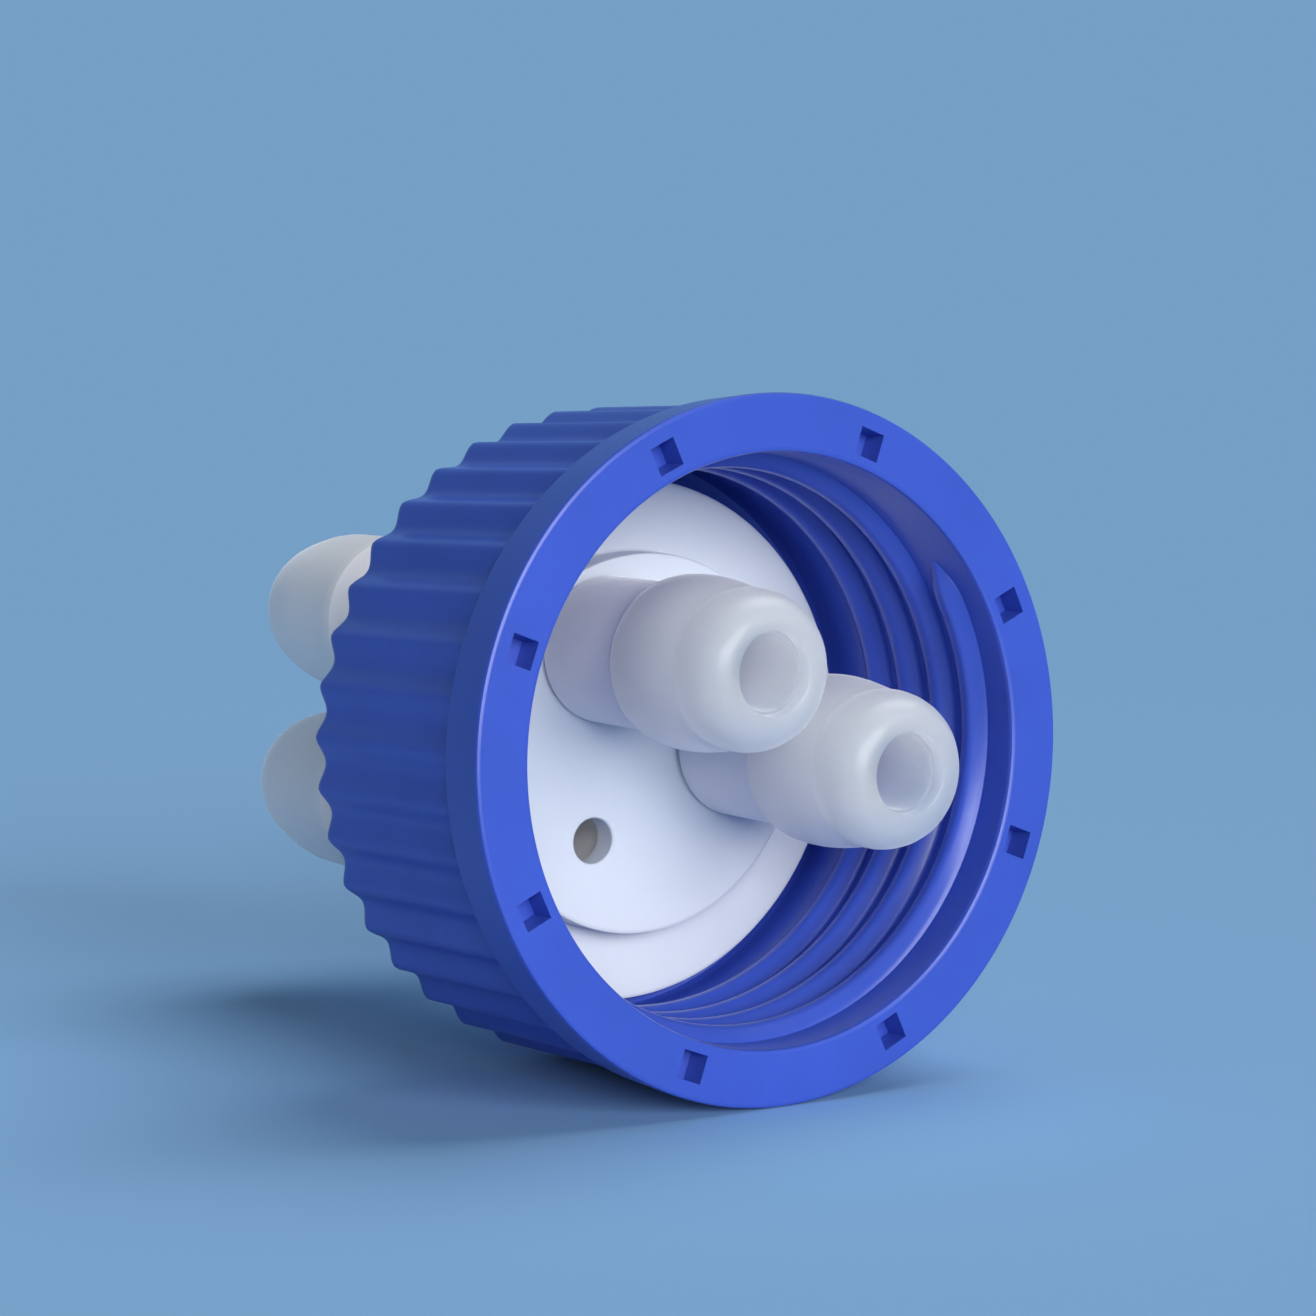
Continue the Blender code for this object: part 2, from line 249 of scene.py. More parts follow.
print("bench fades from", FADE_START, "to", FADE_END, "mm")

# %% [markdown]
# All materials here are plastics or rubber, and their skins differ in the same few ways.
# The colour drifts a little over several millimetres, and a fine grain makes the gloss
# uneven and bends it slightly. The real grain is finer than a pixel of the picture, so
# it is drawn about half a millimetre wide, where it just shows.

# %% A plastic skin
CLOUD_MM = 9.0
RELIEF_MM = 0.02


def plastic_skin(name, color, roughness, grain_mm, bump, tint=0.06, rough_spread=0.05):
    """A plastic skin: its colour drifts a little, and a fine noise bends and dulls it."""
    made = bpy.data.materials.new(name)
    made.use_nodes = True
    tree = made.node_tree
    shader = tree.nodes["Principled BSDF"]
    place = add_node(tree, "ShaderNodeTexCoord")
    cloud = add_node(
        tree,
        "ShaderNodeTexNoise",
        values={"Scale": 1 / (CLOUD_MM * MM), "Detail": 3.0, "Roughness": 0.55},
        links={"Vector": place.outputs["Object"]},
    )
    ramp = add_node(tree, "ShaderNodeValToRGB", links={"Fac": cloud.outputs["Fac"]})
    darker, lighter = ramp.color_ramp.elements
    base = linear(color)[:3]
    darker.position = 0.3
    darker.color = tuple(c * (1 - tint) for c in base) + (1,)
    lighter.position = 0.7
    lighter.color = tuple(min(1, c * (1 + tint)) for c in base) + (1,)
    tree.links.new(ramp.outputs["Color"], shader.inputs["Base Color"])
    grain = add_node(
        tree,
        "ShaderNodeTexNoise",
        values={"Scale": 1 / (grain_mm * MM), "Detail": 4.0, "Roughness": 0.6},
        links={"Vector": place.outputs["Object"]},
    )
    spread = add_node(
        tree,
        "ShaderNodeMapRange",
        values={"To Min": roughness - rough_spread, "To Max": roughness + rough_spread},
        links={"Value": grain.outputs["Fac"]},
    )
    tree.links.new(spread.outputs["Result"], shader.inputs["Roughness"])
    relief = add_node(
        tree,
        "ShaderNodeBump",
        values={"Strength": bump, "Distance": RELIEF_MM * MM},
        links={"Height": grain.outputs["Fac"]},
    )
    tree.links.new(relief.outputs["Normal"], shader.inputs["Normal"])
    print(f"{name}: colour {color}, roughness {roughness}, grain {grain_mm} mm")
    return made, shader


# %% [markdown]
# The cap is polypropylene, coloured right through and injection moulded. The polished
# mould gives a satin skin with a very faint orange peel, and a little light goes in
# before it comes back, so edges look soft and the blue looks deep.

# %% Blue polypropylene
blue, shader = plastic_skin("moulded_blue_polypropylene", "3954BC", 0.3, 0.7, 0.2)
set_sockets(
    shader,
    {
        "IOR": 1.49,
        "Subsurface Weight": 0.05,
        "Subsurface Radius": (0.3, 0.4, 1.0),
        "Subsurface Scale": 0.6 * MM,
    },
)

# %% [markdown]
# The disc is PTFE, which can't be moulded like other plastics and is turned on a lathe.
# It is waxy and bright: its low index gives it little gloss, and light goes in by more
# than a millimetre, so its shadows are never hard.

# %% White PTFE
white, shader = plastic_skin("turned_white_ptfe", "DBE1E9", 0.45, 0.4, 0.3, tint=0.015)
set_sockets(
    shader,
    {
        "IOR": 1.38,
        "Subsurface Weight": 0.25,
        "Subsurface Radius": (1.0, 1.0, 1.0),
        "Subsurface Scale": 1.5 * MM,
    },
)

# %% [markdown]
# The connectors are natural polypropylene, moulded without any pigment. It is milky:
# light travels centimetres in it and comes out somewhere else, so a barb glows evenly
# all round and its folds stay pale. A thin coat and some sheen give the satin gloss.

# %% Natural polypropylene
milky, shader = plastic_skin("natural_polypropylene", "FBFAFC", 0.4, 0.6, 0.3, tint=0.03)
set_sockets(
    shader,
    {
        "IOR": 1.4,
        "Subsurface Radius": (1.0, 0.95, 0.9),
        "Subsurface Scale": 40.0 * MM,
        "Coat Weight": 0.18,
        "Coat Roughness": 0.1,
        "Sheen Weight": 0.5,
        "Sheen Roughness": 0.4,
    },
)

# %% [markdown]
# A connector isn't equally milky all along. Its collar is a sleeve round the shank, and
# the gap between them stops the light, so the collar is greyer, and so is all that lies
# behind the disc. At the very tip the wall is thin and lets some light straight through.
# Both follow the height above the disc's face, measured along the disc's axis.

# %% Milky by place
COLLAR_ENDS = 9.5
BARB_GLOWS = 10.8
TIP_STARTS = 17.0
TIP_IS_THIN = 21.0
MILKY_COLLAR = 0.2
CLEAR_TIP = 0.12

tree = milky.node_tree
place = add_node(tree, "ShaderNodeTexCoord")
along_axis = add_node(
    tree,
    "ShaderNodeVectorMath",
    {"operation": "DOT_PRODUCT"},
    {1: INSERT_AXIS},
    {0: place.outputs["Object"]},
)
face_place = INSERT_POSE.translation.dot(INSERT_AXIS)


def between_heights(start, end, low, high):
    """A value that goes from low to high between two heights in mm over the disc."""
    reach = {"From Min": face_place + start * MM, "From Max": face_place + end * MM}
    step = add_node(
        tree,
        "ShaderNodeMapRange",
        values={**reach, "To Min": low, "To Max": high},
        links={"Value": along_axis.outputs["Value"]},
    )
    return step.outputs["Result"]


glow = between_heights(COLLAR_ENDS, BARB_GLOWS, MILKY_COLLAR, 1.0)
tree.links.new(glow, shader.inputs["Subsurface Weight"])
clear = between_heights(TIP_STARTS, TIP_IS_THIN, 0.0, CLEAR_TIP)
tree.links.new(clear, shader.inputs["Transmission Weight"])
print("milky from", COLLAR_ENDS, "mm, clearer from", TIP_STARTS, "mm")

# %% [markdown]
# The seals are black rubber, pressed in a mould: dull, a little rough, and almost hidden.

# %% Seal rubber
seal_rubber, shader = plastic_skin("black_seal_rubber", "24262A", 0.65, 0.3, 0.4)

# %% [markdown]
# Almost every piece is round, so one way of working serves them all: add a circle, then
# extrude its edge, move it up or down and scale it, ring after ring, as one would by
# hand. Bridging the last ring to the first closes the skin into a solid tube.

# %% Ring by ring


def nothing_selected():
    """Leaves edit mode and deselects all, since an operator acts on all that is selected."""
    if bpy.context.mode != "OBJECT":
        bpy.ops.object.mode_set(mode="OBJECT")
    bpy.ops.object.select_all(action="DESELECT")


def ring_stack(name, profile, sides=96, turn=0.0):
    """A closed outline of (radius, height) in millimetres, grown ring by ring."""
    nothing_selected()
    radius, height = profile[0]
    bpy.ops.mesh.primitive_circle_add(vertices=sides, radius=radius * MM)
    piece = bpy.context.active_object
    piece.name = name
    bpy.ops.object.mode_set(mode="EDIT")
    bpy.ops.mesh.select_mode(type="EDGE")
    bpy.ops.mesh.select_all(action="SELECT")
    bpy.ops.transform.translate(value=(0, 0, height * MM))
    for new_radius, new_height in profile[1:]:
        rise = (0, 0, (new_height - height) * MM)
        bpy.ops.mesh.extrude_region_move(TRANSFORM_OT_translate={"value": rise})
        grow = new_radius / radius
        bpy.ops.transform.resize(value=(grow, grow, 1), center_override=(0, 0, 0))
        radius, height = new_radius, new_height
    bpy.ops.mesh.select_all(action="DESELECT")
    bpy.ops.mesh.select_non_manifold()
    bpy.ops.mesh.bridge_edge_loops()
    bpy.ops.mesh.select_all(action="SELECT")
    bpy.ops.mesh.normals_make_consistent(inside=False)
    bpy.ops.object.mode_set(mode="OBJECT")
    if turn:
        piece.data.transform(Matrix.Rotation(math.radians(turn), 4, "Z"))
    return piece


# %% [markdown]
# Smooth shading blends the slant of neighbouring faces, so a flat rim beside a rounded
# edge would shade as if it were domed. A ring close to each end of a long run holds the
# blend at the edge: the flat stays flat, and the edge catches one thin line of light.

# %% Holding rings


def held(profile, long_run=1.0, near=0.06):
    """Adds a ring close to both ends of each long run, so that flat parts shade flat."""
    line = []
    for (r0, z0), (r1, z1) in zip(profile, profile[1:] + profile[:1]):
        line.append((r0, z0))
        length = math.hypot(r1 - r0, z1 - z0)
        if length > long_run:
            for share in (near / length, 1 - near / length):
                line.append((r0 + (r1 - r0) * share, z0 + (z1 - z0) * share))
    return line


print("a bar of 2 x 1 mm, held:", held([(1.0, 0.0), (3.0, 0.0), (3.0, 1.0), (1.0, 1.0)]))

# %% [markdown]
# A finished piece is laid in its place with the place in its mesh, so its object sits at
# the origin and patterns on it don't slide. It takes its material, rides on its body,
# and stands for the node of the frame that it dresses.

# %% Joining and finishing


def joined(name, pieces):
    """Several meshes made one object."""
    nothing_selected()
    for piece in pieces:
        piece.select_set(True)
    bpy.context.view_layer.objects.active = pieces[0]
    bpy.ops.object.join()
    pieces[0].name = name
    return pieces[0]


def finished(piece, pose, material, body, node, smooth=35, shift=(0, 0)):
    """Lays the piece in its place, smooths it, and lets it ride on its body."""
    nothing_selected()
    piece.matrix_world = pose @ Matrix.Translation((shift[0] * MM, shift[1] * MM, 0))
    piece.select_set(True)
    bpy.context.view_layer.objects.active = piece
    bpy.ops.object.transform_apply(location=True, rotation=True, scale=True)
    bpy.ops.object.shade_smooth_by_angle(angle=math.radians(smooth))
    piece.data.materials.clear()
    piece.data.materials.append(material)
    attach(piece, body)
    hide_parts(node)
    size = [round(c / MM, 1) for c in piece.dimensions]
    print(f"{piece.name}: {size} mm, {len(piece.data.polygons)} faces")


# %% [markdown]
# The cap is one moulding. Its section is drawn as a closed line: over the rim, down the
# collar, along the skirt, round the back edge, through the aperture and back up the bore.
# Its circles have twelve points for each grip flute, which comes next.

# %% Cap shell
RIM_R = 27.23
RIM_BACK_R = 26.98
RIM_DEPTH = 4.9
FLUTE_CREST_R = 26.4
BACK_ROUND = 1.2
BORE_R = 22.75
TOP_WALL = 2.0
APERTURE_R = 17.2
FLUTES = 41
FLUTE_POINTS = 12
FLUTE_PHASE = 270 - 180 / FLUTES

back = -CAP_HEIGHT
skirt_top = -RIM_DEPTH
rounded_back = [
    (
        FLUTE_CREST_R - BACK_ROUND * (1 - math.cos(math.radians(a))),
        back + BACK_ROUND * (1 - math.sin(math.radians(a))),
    )
    for a in (0, 15, 30, 45, 60, 75, 90)
]
cap_section = [
    (BORE_R, -0.35),
    (BORE_R + 0.1, -0.1),
    (BORE_R + 0.35, 0.0),
    (RIM_R - 0.3, 0.0),
    (RIM_R - 0.1, -0.08),
    (RIM_R, -0.28),
    (RIM_BACK_R, skirt_top + 0.3),
    (RIM_BACK_R - 0.1, skirt_top + 0.08),
    (RIM_BACK_R - 0.3, skirt_top),
    (FLUTE_CREST_R, skirt_top),
    (FLUTE_CREST_R, skirt_top - 0.4),
    *rounded_back,
    (APERTURE_R + 0.3, back),
    (APERTURE_R, back + 0.3),
    (APERTURE_R, back + TOP_WALL - 0.2),
    (APERTURE_R + 0.2, back + TOP_WALL),
    (BORE_R - 0.8, back + TOP_WALL),
    (BORE_R - 0.2, back + TOP_WALL + 0.2),
    (BORE_R, back + TOP_WALL + 0.8),
]
cap = ring_stack("screw_cap_shell", held(cap_section), FLUTES * FLUTE_POINTS, FLUTE_PHASE)
print("cap shell", len(cap.data.vertices), "points")

# %% [markdown]
# The grip is a row of round flutes that run from under the collar over the rounded back
# edge. The points of the skirt that lie equally deep in their flutes are selected
# together and scaled towards the axis in one go, from the crest to the hollow.

# %% Points by their place


def select_points(piece, wanted):
    """In edit mode: selects the points for which wanted(place in mm) holds."""
    work = bmesh.from_edit_mesh(piece.data)
    for face in work.faces:
        face.select = False
    count = 0
    for point in work.verts:
        point.select = wanted(point.co / MM)
        count += point.select
    work.select_flush_mode()
    bmesh.update_edit_mesh(piece.data)
    return count


def flute_step(place):
    """Which of the points of one flute this is: 0 on a crest, 6 in the hollow."""
    angle = math.degrees(math.atan2(place.y, place.x)) - FLUTE_PHASE
    step = round(angle / 360 * FLUTES * FLUTE_POINTS) % FLUTE_POINTS
    return min(step, FLUTE_POINTS - step)


def on_skirt(place):
    """Whether this is on the outside of the skirt, under the collar or round the back."""
    radius = place.to_2d().length
    outside = FLUTE_CREST_R - BACK_ROUND - 0.2 < radius < RIM_BACK_R - 0.35
    return outside and place.z < skirt_top + 0.05


print("a point on the skirt:", on_skirt(Vector((FLUTE_CREST_R, 0, back / 2))))

# %% Grip flutes
FLUTE_DEPTH = 0.85
HOLLOW_WIDTH = 0.8  # below 1 the hollows are wider than the crests

nothing_selected()
bpy.context.view_layer.objects.active = cap
bpy.ops.object.mode_set(mode="EDIT")
bpy.ops.mesh.select_mode(type="VERT")
for step in range(1, FLUTE_POINTS // 2 + 1):
    wave = (1 - math.cos(2 * math.pi * step / FLUTE_POINTS)) / 2
    depth = wave**HOLLOW_WIDTH * FLUTE_DEPTH
    found = select_points(cap, lambda place: on_skirt(place) and flute_step(place) == step)
    inward = (FLUTE_CREST_R - depth) / FLUTE_CREST_R
    bpy.ops.transform.resize(value=(inward, inward, 1), center_override=(0, 0, 0))
    print("flute step", step, "points", found, "depth", round(depth, 2))
bpy.ops.object.mode_set(mode="OBJECT")

# %% [markdown]
# Eight small square pockets are sunk in the rim, where the moulder saves plastic. A cube
# is modelled once as the core of the mould, a little narrower at the bottom so that the
# cap would slip off it, then copied round the rim and taken out of the shell.

# %% Cutting with a core


def cut_with(piece, core):
    """Takes the core out of the piece with a Boolean, and the core is gone."""
    nothing_selected()
    bpy.context.view_layer.objects.active = piece
    cut = piece.modifiers.new("cut", "BOOLEAN")
    cut.operation = "DIFFERENCE"
    cut.solver = "EXACT"
    cut.object = core
    bpy.ops.object.modifier_apply(modifier=cut.name)
    bpy.data.objects.remove(core, do_unlink=True)
    print(piece.name, "cut, now", len(piece.data.polygons), "faces")


# %% Rim pockets
POCKETS = 8
POCKET_R = 24.75
POCKET_SIDE = 2.4
POCKET_DEPTH = 2.1
POCKET_PHASE = 24.6
POCKET_TAPER = 0.86

nothing_selected()
bpy.ops.mesh.primitive_cube_add(size=POCKET_SIDE * MM)
core = bpy.context.active_object
bpy.ops.object.mode_set(mode="EDIT")
bpy.ops.mesh.select_all(action="SELECT")
bpy.ops.transform.resize(value=(1, 1, 2 * POCKET_DEPTH / POCKET_SIDE))
bpy.ops.mesh.select_mode(type="VERT")
select_points(core, lambda place: place.z < 0)
bpy.ops.transform.resize(value=(POCKET_TAPER, POCKET_TAPER, 1))
bpy.ops.object.mode_set(mode="OBJECT")
cores = []
for i in range(POCKETS):
    copy = core.copy()
    copy.data = core.data.copy()
    bpy.context.scene.collection.objects.link(copy)
    spin = Matrix.Rotation(math.radians(POCKET_PHASE + i * 360 / POCKETS), 4, "Z")
    copy.data.transform(spin @ Matrix.Translation((POCKET_R * MM, 0, 0)))
    cores.append(copy)
bpy.data.objects.remove(core, do_unlink=True)
cut_with(cap, joined("pocket_cores", cores))

# %% [markdown]
# The bottle thread is right-handed with a pitch of four millimetres. A rounded section is
# swept along a helix that runs just inside the wall. Each end of the sweep gets thinner,
# so it sinks into the wall as a moulded thread does. A curve does this better than a
# screw operator, because each of its points has a radius of its own.

# %% Thread section
THREAD_CREST_R = 21.55
THREAD_EMBED = 0.5

helix_r = BORE_R + THREAD_EMBED
crest = (helix_r - THREAD_CREST_R, 0.0)
flank = [(0, 1.5), (0.5, 1.42), (0.9, 1.15), (1.4, 0.72), (1.6, 0.52), (1.69, 0.25)]
corners = flank + [crest] + [(x, -y) for x, y in reversed(flank)]
section = bpy.data.curves.new("thread_section", "CURVE")
section.dimensions = "2D"
spline = section.splines.new("POLY")
spline.points.add(len(corners) - 1)
for point, (x, y) in zip(spline.points, corners):
    point.co = (x * MM, -y * MM, 0, 1)
spline.use_cyclic_u = True
section_object = bpy.data.objects.new("thread_section", section)
bpy.context.scene.collection.objects.link(section_object)
print("thread section", len(corners), "points,", round(crest[0], 2), "mm high")

# %% Thread helix
THREAD_PITCH = 4.0
THREAD_TOP = -4.0
THREAD_BOTTOM = -19.4
THREAD_START = 38.0
THREAD_FADE = 7.0
THREAD_THINNEST = 0.3
POINTS_A_TURN = 120

helix = bpy.data.curves.new("thread", "CURVE")
helix.dimensions = "3D"
helix.twist_mode = "Z_UP"
helix.bevel_mode = "OBJECT"
helix.bevel_object = section_object
helix.use_fill_caps = True
turns = (THREAD_TOP - THREAD_BOTTOM) / THREAD_PITCH
count = int(turns * POINTS_A_TURN)
spline = helix.splines.new("POLY")
spline.points.add(count)
for i, point in enumerate(spline.points):
    swept = i / count * turns * 360
    angle = math.radians(THREAD_START - swept)
    height = THREAD_TOP + i / count * (THREAD_BOTTOM - THREAD_TOP)
    x, y = helix_r * math.cos(angle), helix_r * math.sin(angle)
    point.co = (x * MM, y * MM, height * MM, 1)
    fade = min(swept, turns * 360 - swept) / THREAD_FADE
    point.radius = min(1.0, THREAD_THINNEST + (1 - THREAD_THINNEST) * fade)
thread = bpy.data.objects.new("thread", helix)
bpy.context.scene.collection.objects.link(thread)
print("thread", round(turns, 2), "turns,", count + 1, "points")

# %% Cap with its thread
nothing_selected()
thread.select_set(True)
bpy.context.view_layer.objects.active = thread
bpy.ops.object.convert(target="MESH")
thread = bpy.context.active_object
bpy.data.objects.remove(section_object, do_unlink=True)
bpy.ops.object.mode_set(mode="EDIT")
bpy.ops.mesh.select_all(action="SELECT")
bpy.ops.mesh.remove_doubles(threshold=0.001 * MM)
bpy.ops.mesh.normals_make_consistent(inside=False)
bpy.ops.object.mode_set(mode="OBJECT")
cap = joined("screw_cap_moulding", [cap, thread])
finished(cap, CAP_POSE, blue, "cap", "screw_cap", smooth=40)

# %% [markdown]
# The disc seals on the bottle's lip, its raised boss sits in the neck, and its hub comes
# out through the cap's aperture. It is turned on a lathe, so its corners are only just
# broken. From here on, height 0 is the face of the boss.

# %% Port disc
BOSS_R = 15.4
BOSS_HEIGHT = 2.8
DISC_R = 21.25
DISC_THICK = 1.7
HUB_R = 15.9
HUB_BACK = -9.6
CENTRE_R = 0.002

disc_front = -BOSS_HEIGHT
disc_back = disc_front - DISC_THICK
insert_section = [
    (CENTRE_R, 0.0),
    (BOSS_R - 0.3, 0.0),
    (BOSS_R - 0.08, -0.08),
    (BOSS_R, -0.3),
    (BOSS_R, disc_front + 0.15),
    (BOSS_R + 0.15, disc_front),
    (DISC_R - 0.3, disc_front),
    (DISC_R - 0.08, disc_front - 0.08),
    (DISC_R, disc_front - 0.3),
    (DISC_R, disc_back + 0.15),
    (DISC_R - 0.15, disc_back),
    (HUB_R, disc_back),
    (HUB_R, HUB_BACK + 0.4),
    (HUB_R - 0.12, HUB_BACK + 0.12),
    (HUB_R - 0.4, HUB_BACK),
    (CENTRE_R, HUB_BACK),
]
insert = ring_stack("port_disc", held(insert_section), 128)
print("port disc", len(insert.data.vertices), "points")

# %% [markdown]
# Three ports sit evenly round the disc. Two are plain holes for the connectors' shanks.
# The third is the vent: a shank hole from behind that ends in a small round hole with a
# broken edge. Each is cut with a round core, as a drill would.

# %% Port holes
PORT_CIRCLE_R = 8.9
PORT_ANGLES = {"a": 117.4, "b": 357.4, "vent": 237.4}
SHANK_HOLE_R = 4.3
VENT_HOLE_R = 1.85
VENT_WALL = 2.2
DRILL_TIP_R = 0.001


def port_place(port):
    """The centre of a port on the disc's face, in millimetres."""
    angle = math.radians(PORT_ANGLES[port])
    return PORT_CIRCLE_R * math.cos(angle), PORT_CIRCLE_R * math.sin(angle)


for port in PORT_ANGLES:
    top = 1.0 if port != "vent" else -VENT_WALL
    shank_hole = [(SHANK_HOLE_R, top), (SHANK_HOLE_R, HUB_BACK - 1), (DRILL_TIP_R, HUB_BACK - 1)]
    mouth = [(DRILL_TIP_R, top)]
    if port == "vent":
        mouth = [(DRILL_TIP_R, 0.5), (VENT_HOLE_R + 0.6, 0.5), (VENT_HOLE_R + 0.12, 0.0)]
        mouth += [(VENT_HOLE_R, -0.12), (VENT_HOLE_R, top)]
    drill = ring_stack("port_core", mouth + shank_hole, 64)
    x, y = port_place(port)
    drill.data.transform(Matrix.Translation((x * MM, y * MM, 0)))
    cut_with(insert, drill)
finished(insert, INSERT_POSE, white, "insert", "port_insert", smooth=30)

# %% [markdown]
# Inside the bottle each connector is a plain collar against the disc, then a full barb
# whose sharp back edge grips the hose, and a slimmer stage at the tip that helps to start
# the hose. All edges are soft, as they leave the mould, and a small step just inside the
# mouth of the bore catches a thin ring of light.

# %% Inner connectors' section
SHANK_R = 4.0
SHANK_TIP = 6.6
INNER_TIP = 23.1
INNER_SHOULDER = 10.5
INNER_COLLAR_R = 5.85
INNER_BARB_R = 6.8
INNER_NOTCH_R = 6.05
INNER_BORE_R = 2.9
MOUTH_R = 3.2
MOUTH_DEPTH = 1.1
GAP = 0.3

mouth_step = [
    (INNER_BORE_R, INNER_TIP - MOUTH_DEPTH - 0.06),
    (INNER_BORE_R + 0.06, INNER_TIP - MOUTH_DEPTH),
    (MOUTH_R - 0.02, INNER_TIP - MOUTH_DEPTH),
    (MOUTH_R, INNER_TIP - 0.2),
    (MOUTH_R + 0.06, INNER_TIP - 0.06),
    (MOUTH_R + 0.2, INNER_TIP),
]
slim_stage = [
    (3.9, INNER_TIP),
    (4.45, INNER_TIP - 0.1),
    (4.9, INNER_TIP - 0.32),
    (5.3, INNER_TIP - 0.66),
    (5.65, INNER_TIP - 1.12),
    (5.92, INNER_TIP - 1.7),
    (6.12, INNER_TIP - 2.4),
    (6.22, INNER_TIP - 3.1),
    (6.22, INNER_TIP - 3.8),
    (6.12, INNER_TIP - 4.3),
]
full_barb = [
    (INNER_NOTCH_R, INNER_TIP - 4.55),
    (6.1, INNER_TIP - 4.8),
    (6.24, INNER_TIP - 5.1),
    (6.38, INNER_TIP - 5.7),
    (6.55, INNER_TIP - 6.7),
    (6.7, INNER_TIP - 7.8),
    (INNER_BARB_R, INNER_SHOULDER + 3.6),
    (INNER_BARB_R, INNER_SHOULDER + 2.6),
    (6.72, INNER_SHOULDER + 1.4),
    (6.58, INNER_SHOULDER + 0.6),
    (6.42, INNER_SHOULDER + 0.18),
    (6.2, INNER_SHOULDER),
]
collar = [
    (INNER_COLLAR_R + 0.12, INNER_SHOULDER),
    (INNER_COLLAR_R, INNER_SHOULDER - 0.12),
    (INNER_COLLAR_R, GAP + 0.3),
    (INNER_COLLAR_R - 0.1, GAP + 0.08),
    (INNER_COLLAR_R - 0.3, GAP),
]
shank_socket = [
    (SHANK_R + GAP, GAP),
    (SHANK_R + GAP, SHANK_TIP + GAP),
    (INNER_BORE_R, SHANK_TIP + GAP),
]
inner_section = mouth_step + slim_stage + full_barb + collar + shank_socket
print("inner connector section", len(inner_section), "rings")

# %% Inner connectors
for port in ("a", "b"):
    barb = ring_stack(f"inner_connector_{port}", held(inner_section, long_run=5.0), 96)
    finished(
        barb,
        INSERT_POSE,
        milky,
        "insert",
        f"inner_barb_{port}",
        smooth=28,
        shift=port_place(port),
    )

# %% [markdown]
# Behind the cap each connector has a shank that screws through the disc, a hexagonal
# collar for the spanner, and a hose stem with three barbs. The last barb is long and
# rounded, and its end is all that the photograph shows of it. The stem is hollow.

# %% Outer connectors' section
HEX_ACROSS = 14.4
HEX_THICK = 4.0
HEX_FLOOR = 1.2
SEAL_THICK = 1.2
OUTER_BARB_R = 7.0
NECK_R = 5.0
OUTER_TIP = -47.0
OUTER_TIP_R = 4.7
SHANK_BORE_R = 2.9
STEM_BORE_R = 4.0
BARBS = 3
BARB_PITCH = 7.6
BARB_LAND = 1.3

seal_back = HUB_BACK - SEAL_THICK - 2 * GAP
hex_back = seal_back - HEX_THICK
core_r = HEX_ACROSS / 2 - 0.35  # the round core under the hexagon's flats
rounded_tip = [
    (OUTER_BARB_R - 0.1, OUTER_TIP + 7.6),
    (OUTER_BARB_R - 0.3, OUTER_TIP + 6.1),
    (OUTER_BARB_R - 0.55, OUTER_TIP + 4.9),
    (OUTER_BARB_R - 0.85, OUTER_TIP + 3.7),
    (OUTER_BARB_R - 1.15, OUTER_TIP + 2.6),
    (OUTER_BARB_R - 1.45, OUTER_TIP + 1.8),
    (OUTER_BARB_R - 1.75, OUTER_TIP + 1.1),
    (OUTER_BARB_R - 2.1, OUTER_TIP + 0.6),
    (OUTER_TIP_R, OUTER_TIP + 0.3),
    (OUTER_TIP_R - 0.15, OUTER_TIP + 0.08),
    (OUTER_TIP_R - 0.35, OUTER_TIP),
]
stem_bore = [
    (STEM_BORE_R + 0.12, OUTER_TIP),
    (STEM_BORE_R, OUTER_TIP + 0.12),
    (STEM_BORE_R, seal_back - HEX_FLOOR - 0.5),
    (SHANK_BORE_R, seal_back - HEX_FLOOR),
]


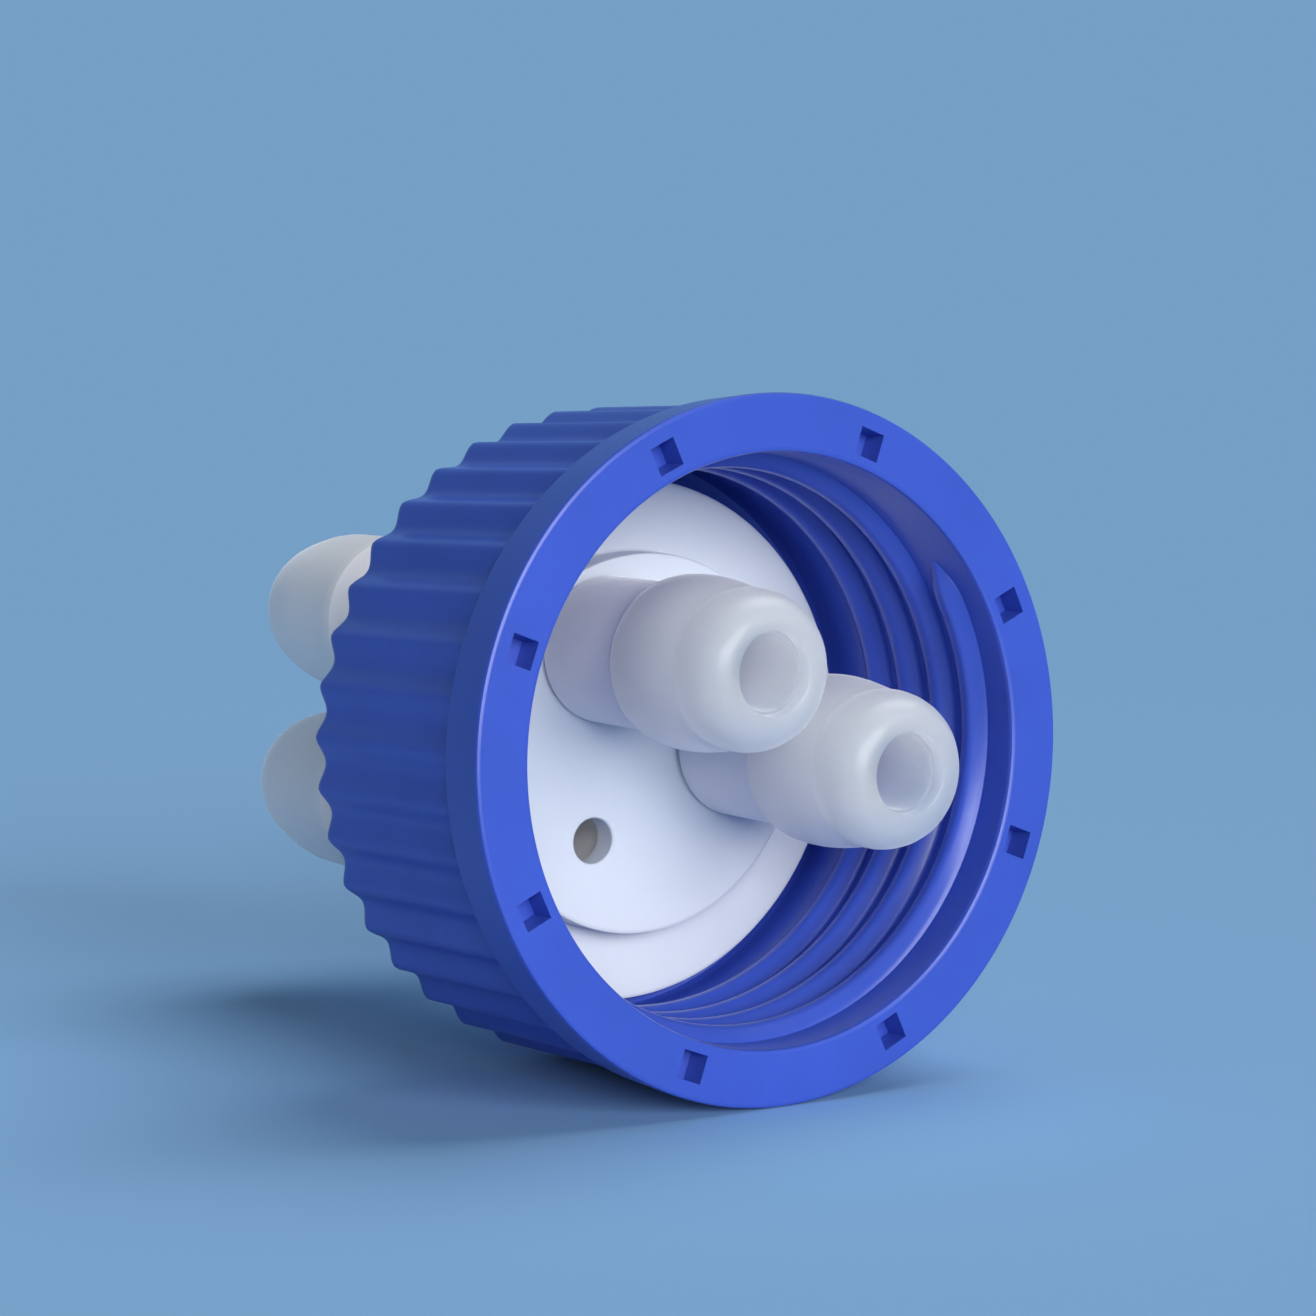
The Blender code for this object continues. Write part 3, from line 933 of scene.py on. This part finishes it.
def stem_section(port):
    """Shank, barbs and bore of one outer connector. The vent's shank is shorter."""
    shank_top = SHANK_TIP if port != "vent" else -VENT_WALL - GAP
    line = [(SHANK_BORE_R, shank_top), (SHANK_R - 0.3, shank_top), (SHANK_R, shank_top - 0.3)]
    line += [(SHANK_R, seal_back), (core_r, seal_back), (core_r, hex_back)]
    line += [(NECK_R + 0.2, hex_back), (NECK_R, hex_back - 0.25)]
    crest = OUTER_BARB_R
    for stage in range(BARBS):
        top = hex_back - BARB_LAND - stage * BARB_PITCH
        if stage > 0:
            line += [(NECK_R + 0.08, top + 0.25)]
        line += [(NECK_R, top + 0.12), (NECK_R + 0.12, top), (crest - 0.4, top)]
        line += [(crest - 0.12, top - 0.12), (crest, top - 0.4), (crest, top - BARB_LAND)]
    return line + rounded_tip + stem_bore


print("outer connector section", len(stem_section("a")), "rings")

# %% Outer connectors
hex_round_r = HEX_ACROSS / 2 / math.cos(math.radians(30))
hex_section = [
    (NECK_R - 0.6, seal_back),
    (hex_round_r - 0.5, seal_back),
    (hex_round_r, seal_back - 0.3),
    (hex_round_r, hex_back + 0.3),
    (hex_round_r - 0.5, hex_back),
    (NECK_R - 0.6, hex_back),
]
for port, angle in PORT_ANGLES.items():
    stem = ring_stack(f"stem_{port}", stem_section(port), 96)
    hexagon = ring_stack(f"spanner_collar_{port}", hex_section, 6, angle)
    outer = joined(f"outer_connector_{port}", [stem, hexagon])
    finished(
        outer,
        INSERT_POSE,
        milky,
        "insert",
        f"outer_barb_{port}",
        smooth=28,
        shift=port_place(port),
    )

# %% [markdown]
# A flat rubber ring under each spanner collar makes the joint with the hub tight. It is
# a plain washer with softened corners, all but hidden.

# %% Seals
SEAL_R = 6.4
seal_top = HUB_BACK - GAP
seal_section = [
    (SHANK_R + GAP, seal_top),
    (SEAL_R - 0.25, seal_top),
    (SEAL_R - 0.07, seal_top - 0.07),
    (SEAL_R, seal_top - 0.25),
    (SEAL_R, seal_top - SEAL_THICK + 0.25),
    (SEAL_R - 0.07, seal_top - SEAL_THICK + 0.07),
    (SEAL_R - 0.25, seal_top - SEAL_THICK),
    (SHANK_R + GAP, seal_top - SEAL_THICK),
]
for port in PORT_ANGLES:
    ring = ring_stack(f"seal_washer_{port}", seal_section, 64)
    finished(
        ring,
        INSERT_POSE,
        seal_rubber,
        "insert",
        f"seal_ring_{port}",
        shift=port_place(port),
    )

# %% [markdown]
# Last, the scene is brought up to date.

# %% Finish
bpy.context.view_layer.update()
